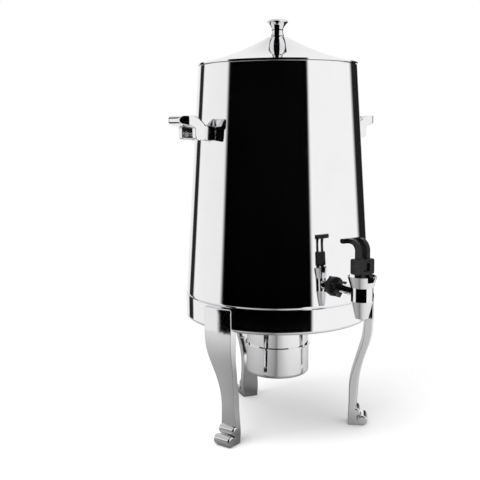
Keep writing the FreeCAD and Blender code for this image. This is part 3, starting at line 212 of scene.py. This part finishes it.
def polished_metal(name, color, roughness, smear=0.03, ripple=0.0, ripple_scale=18.0, grain=0.0,
                   grain_stretch=LINES_AROUND, shade_rings=()):
    """Bright metal. The ripple is the depth of slow waves in metres, the smear and the grain are shares
    of roughness, and each ring height given is a dark band of painted shade round the piece."""
    material, nodes, shader, place = new_material(name)
    wiped = nodes.noise(place, scale=30.0, detail=5.0, roughness=0.6)
    shader.inputs["Metallic"].default_value = 1.0
    low = tuple(channel * WIPED_SHARE for channel in color)
    tint = nodes.mix(wiped, (*low, 1.0), (*color, 1.0))
    # Dark bands of painted shade round the piece at the given heights.
    if shade_rings:
        height = nodes.add("ShaderNodeSeparateXYZ", {"Vector": place}).outputs["Z"]
        for ring in shade_rings:
            on_shade_ring = nodes.math("COMPARE", height, ring, SHADE_RING_HALF_WIDTH)
            tint = nodes.mix(on_shade_ring, tint, PAINTED_SHADE_TONE)
    nodes.feed(shader.inputs["Base Color"], tint)
    stretched = nodes.add("ShaderNodeMapping", {"Vector": place, "Scale": grain_stretch})
    lines = nodes.noise(stretched.outputs["Vector"], scale=60.0, detail=4.0, roughness=0.7)
    rough = nodes.math("MULTIPLY_ADD", wiped, smear, roughness - smear / 2)
    rough = nodes.math("MULTIPLY_ADD", lines, grain, rough, clamp=True)
    nodes.feed(shader.inputs["Roughness"], rough)
    slow = nodes.noise(place, scale=ripple_scale, detail=1.0, roughness=0.4)
    wave = nodes.bump(slow, distance=ripple)
    scratch = nodes.bump(lines, distance=grain * LINE_DEPTH)
    nodes.feed(scratch.inputs["Normal"], wave.outputs["Normal"])
    nodes.feed(shader.inputs["Normal"], scratch.outputs["Normal"])
    return material


PLASTIC_DARK = (0.003, 0.003, 0.0035, 1.0)
PLASTIC_LIGHT = (0.011, 0.011, 0.012, 1.0)
PLASTIC_ROUGHNESS = 0.12
PLASTIC_ROUGHNESS_SPREAD = 0.1
PLASTIC_SHEEN = 0.25


def black_plastic(name):
    """Glossy black moulding with a very fine grain."""
    material, nodes, shader, place = new_material(name)
    cloud = nodes.noise(place, scale=80.0, detail=4.0)
    nodes.feed(shader.inputs["Base Color"], nodes.mix(cloud, PLASTIC_DARK, PLASTIC_LIGHT))
    rough = nodes.math("MULTIPLY_ADD", cloud, PLASTIC_ROUGHNESS_SPREAD, PLASTIC_ROUGHNESS)
    nodes.feed(shader.inputs["Roughness"], rough)
    shader.inputs["Specular IOR Level"].default_value = PLASTIC_SHEEN
    fine = nodes.noise(place, scale=900.0, detail=2.0)
    grain = nodes.bump(fine, distance=5e-5, strength=0.3)
    nodes.feed(shader.inputs["Normal"], grain.outputs["Normal"])
    return material


RUBBER_DARK_SHARE = 0.85
RUBBER_ROUGHNESS = 0.5


def soft_rubber(name, color):
    """Matte seal, slightly mottled."""
    material, nodes, shader, place = new_material(name)
    cloud = nodes.noise(place, scale=120.0, detail=3.0)
    dark = tuple(channel * RUBBER_DARK_SHARE for channel in color)
    tone = nodes.mix(cloud, (*dark, 1.0), (*color, 1.0))
    nodes.feed(shader.inputs["Base Color"], tone)
    shader.inputs["Roughness"].default_value = RUBBER_ROUGHNESS
    mottle = nodes.bump(cloud, distance=1e-4, strength=0.2)
    nodes.feed(shader.inputs["Normal"], mottle.outputs["Normal"])
    return material


# Studio that the metal mirrors. Bearings and elevations are in degrees, and a bearing is 0 on the
# camera's own side and grows to its right. The second number of each pair is a grey level.
CARDS = (
    (-180, 0.9), (-147, 0.9), (-144, 0.02), (-131, 0.02), (-128, 0.95), (-110, 0.92), (-75, 0.9), (-71, 0.0),
    (41, 0.0), (44, 0.97), (122, 0.97), (130, 0.015), (160, 0.015), (166, 0.9), (180, 0.9),
)

# The roof starts higher over the dark front card, whose share of each bearing is given here.
FRONT_CARD = ((-80, 0.0), (-72, 1.0), (38, 1.0), (46, 0.0))
ROOF_EDGE = (24, 40)
FRONT_ROOF_EDGE = (76, 87)

# Levels of the roof, from straight left at 0 to straight right at 1.
ROOF = ((0.2, 0.55), (0.62, 0.92))

# Levels of painted shade on the floor, seen only by mirror rays, from 1 m left of the object's axis at 0 to
# 1 m right of it at 1.
MIRRORED_FLOOR_SHADE = (
    (0.18, 0.55), (0.36, 0.4), (0.46, 0.25), (0.49, 0.16), (0.51, 0.34), (0.6, 0.6), (0.75, 0.75),
)


def make_world():
    """White all round, apart from what the metal mirrors: the cards and, above them, the roof."""
    world = bpy.data.worlds.new("studio")
    world.use_nodes = True
    nodes = Nodes(world.node_tree)
    direction = nodes.in_view(nodes.add("ShaderNodeTexCoord").outputs["Generated"])

    # A ramp runs from 0 to 1: bearings of -180 to 180 and elevations of -90 to 90 are brought to that.
    away = nodes.math("MULTIPLY", direction["Y"], -1.0)
    bearing = nodes.math("ARCTAN2", direction["X"], away)
    around = nodes.math("MULTIPLY_ADD", bearing, 0.5 / math.pi, 0.5)
    elevation = nodes.math("ARCSINE", direction["Z"])
    height = nodes.math("MULTIPLY_ADD", elevation, 1 / math.pi, 0.5)

    def by_bearing(stops):
        return nodes.ramp(around, [(degrees / 360 + 0.5, level) for degrees, level in stops])

    def above(edge):
        start, end = edge
        return nodes.ramp(height, [(0.5 + start / 180, 0.0), (0.5 + end / 180, 1.0)])

    overhead = nodes.mix(by_bearing(FRONT_CARD), above(ROOF_EDGE), above(FRONT_ROOF_EDGE))
    roof = nodes.ramp(nodes.centred(direction["X"]), ROOF)
    studio = nodes.mix(overhead, by_bearing(CARDS), roof)
    ray = nodes.add("ShaderNodeLightPath")
    seen = nodes.mix(ray.outputs["Is Glossy Ray"], WHITE, studio)
    background = nodes.add("ShaderNodeBackground", {"Color": seen, "Strength": 1.0})
    output = nodes.add("ShaderNodeOutputWorld")
    nodes.links.new(background.outputs[0], output.inputs["Surface"])
    bpy.context.scene.world = world


# Floor: the metal mirrors it only within a disc round the object, and to the camera it fades into the
# white behind it over a ring.
FLOOR_RADIUS = 4.0
FLOOR_SIDES = 96
MIRRORED_REACH = 0.64
SHADOW_FADE_START = 0.1
SHADOW_FADE_END = 0.42


def make_floor():
    """White floor that keeps the shadow near the feet."""
    bpy.ops.mesh.primitive_circle_add(vertices=FLOOR_SIDES, radius=FLOOR_RADIUS, fill_type="NGON")
    floor = bpy.context.object
    floor.name = "floor"
    material = bpy.data.materials.new("floor_white")
    material.use_nodes = True
    nodes = Nodes(material.node_tree)
    ray = nodes.add("ShaderNodeLightPath").outputs
    place = nodes.add("ShaderNodeNewGeometry").outputs["Position"]
    # Painted shade that only mirror rays see; to the camera the floor stays white.
    mirrored_shade = nodes.ramp(nodes.centred(nodes.in_view(place)["X"]), MIRRORED_FLOOR_SHADE)
    tone = nodes.mix(ray["Is Glossy Ray"], WHITE, mirrored_shade)
    diffuse = nodes.add("ShaderNodeBsdfDiffuse", {"Color": tone})
    clear = nodes.add("ShaderNodeBsdfTransparent")
    span = nodes.add("ShaderNodeVectorMath", {0: place}, operation="LENGTH").outputs["Value"]
    beyond = nodes.math("LESS_THAN", MIRRORED_REACH, span)
    hidden = nodes.math("MULTIPLY", beyond, ray["Is Glossy Ray"])
    fade = nodes.add("ShaderNodeMapRange",
                     {"Value": span, "From Min": SHADOW_FADE_START, "From Max": SHADOW_FADE_END},
                     interpolation_type="SMOOTHSTEP")
    faded = nodes.math("MULTIPLY", fade.outputs["Result"], ray["Is Camera Ray"])
    surface = nodes.add("ShaderNodeMixShader", {"Fac": nodes.math("ADD", hidden, faded, clamp=True)})
    nodes.links.new(diffuse.outputs[0], surface.inputs[1])
    nodes.links.new(clear.outputs[0], surface.inputs[2])
    output = nodes.add("ShaderNodeOutputMaterial")
    nodes.links.new(surface.outputs[0], output.inputs["Surface"])
    floor.data.materials.append(material)


# Lamp, placed as the camera stands to the object.
LAMP_WIDTH = 1.4
LAMP_DEPTH = 1.0
LAMP_ENERGY = 22.0
LAMP_PLACE = (-0.9, -0.9, 1.9)
LAMP_AIM = (0, 0, 0.2)


def make_lamp():
    """Large soft lamp from the upper left, which the metal doesn't mirror."""
    data = bpy.data.lights.new("soft_lamp", "AREA")
    data.shape = "RECTANGLE"
    data.size = LAMP_WIDTH
    data.size_y = LAMP_DEPTH
    data.energy = LAMP_ENERGY
    lamp = bpy.data.objects.new("soft_lamp", data)
    turn = Matrix.Rotation(math.radians(CAMERA_AZIMUTH), 4, "Z")
    position = turn @ Vector(LAMP_PLACE)
    lamp.location = position
    lamp.rotation_euler = (Vector(LAMP_AIM) - position).to_track_quat("-Z", "Y").to_euler()
    lamp.visible_glossy = False
    bpy.context.scene.collection.objects.link(lamp)


# Finishes of the pieces

POLISHED_STEEL = (0.93, 0.93, 0.94)
TAP_AND_HANDLE_CHROME = (0.9, 0.9, 0.91)
KNOB_CHROME = (0.86, 0.86, 0.87)
LEG_CHROME = (0.88, 0.88, 0.89)
SATIN_STEEL = (0.62, 0.62, 0.63)
BOLT_STEEL = (0.66, 0.66, 0.67)
PALE_SILICONE = (0.72, 0.7, 0.66)
BLACK_RUBBER = (0.02, 0.02, 0.02)
EVEN_GRAIN = (1, 1, 1)

# Heights above its foot of the knob's dark rings of painted shade: one in the groove, one round the raised
# collar.
KNOB_SHADE_RINGS = (0.0018, 0.0098)

knob_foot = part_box("lid_knob")[0].z
mirror = polished_metal("mirror_steel", POLISHED_STEEL, roughness=0.045, ripple=1.5e-5, grain=0.02)
lid_mirror = polished_metal("lid_steel", POLISHED_STEEL, roughness=0.05, ripple=1e-5, grain=0.02,
                            grain_stretch=EVEN_GRAIN)
chrome = polished_metal("bright_chrome", TAP_AND_HANDLE_CHROME, roughness=0.07, ripple=2e-5,
                        ripple_scale=45.0)
ringed = polished_metal("painted_shade_ring_chrome", KNOB_CHROME, roughness=0.05, ripple=1e-4, ripple_scale=160.0,
                        shade_rings=[knob_foot + ring for ring in KNOB_SHADE_RINGS])
leg_chrome = polished_metal("leg_chrome", LEG_CHROME, roughness=0.06, ripple=4e-5, ripple_scale=60.0)
satin_steel = polished_metal("satin_steel", SATIN_STEEL, roughness=0.32, smear=0.1, grain=0.2)
bolt_steel = polished_metal("bolt_steel", BOLT_STEEL, roughness=0.25, smear=0.1, grain=0.1)
plastic = black_plastic("black_plastic")
silicone = soft_rubber("pale_silicone", PALE_SILICONE)
rubber = soft_rubber("black_rubber", BLACK_RUBBER)

FINISHES = {
    "tank_polish": mirror,
    "band_polish": mirror,
    "lid_polish": lid_mirror,
    "knob_chrome": ringed,
    "leg_chrome": leg_chrome,
    "handle_chrome": chrome,
    "tap_chrome": chrome,
    "bonnet_chrome": chrome,
    "collar_plastic": plastic,
    "seal_rubber": rubber,
    "burner_polish": mirror,
    "sleeve_polish": mirror,
    "tank_underside": satin_steel,
    "hidden_steel": satin_steel,
    "fastener_steel": bolt_steel,
    "spring_wire": bolt_steel,
    "stem_steel": bolt_steel,
    "silicone": silicone,
    "lever_plastic": plastic,
}

SLOTS = {entry["node"]: entry["material_slot"] for entry in frame["record"]["subparts"]}


def dress_nodes():
    for name, node in frame["nodes"].items():
        node.data.materials.clear()
        node.data.materials.append(FINISHES[SLOTS[name]])


def stand_in(name, suffix):
    """Copy of a piece that is shown in its place."""
    node = frame["nodes"][name]
    piece = node.copy()
    piece.data = node.data.copy()
    piece.name = f"{name}_{suffix}"
    bpy.context.scene.collection.objects.link(piece)
    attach(piece, body_of(node)[0])
    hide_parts(name)
    return piece


ROUNDING_VOXEL = 0.0005
ROUNDING_PASSES = 18
ROUNDING_SHARE = 0.5


def soften(name):
    """Rounds the edges of a cast piece."""
    piece = stand_in(name, "rounded")
    remesh = piece.modifiers.new("even_skin", "REMESH")
    remesh.mode = "VOXEL"
    remesh.voxel_size = ROUNDING_VOXEL
    remesh.use_smooth_shade = True
    smooth = piece.modifiers.new("rounding", "SMOOTH")
    smooth.factor = ROUNDING_SHARE
    smooth.iterations = ROUNDING_PASSES
    graph = bpy.context.evaluated_depsgraph_get()
    mesh = bpy.data.meshes.new_from_object(piece.evaluated_get(graph))
    piece.modifiers.clear()
    piece.data = mesh


def shorten_spring():
    """Shows a copy of the return spring, with a mesh of its own, in the spring's place."""
    spring = stand_in("return_spring", "coil")
    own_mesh(spring)


make_camera()
make_world()
make_floor()
make_lamp()
dress_nodes()
for handle in ("handle_left", "handle_right"):
    soften(handle)
shorten_spring()

bpy.context.scene.view_settings.view_transform = "Standard"
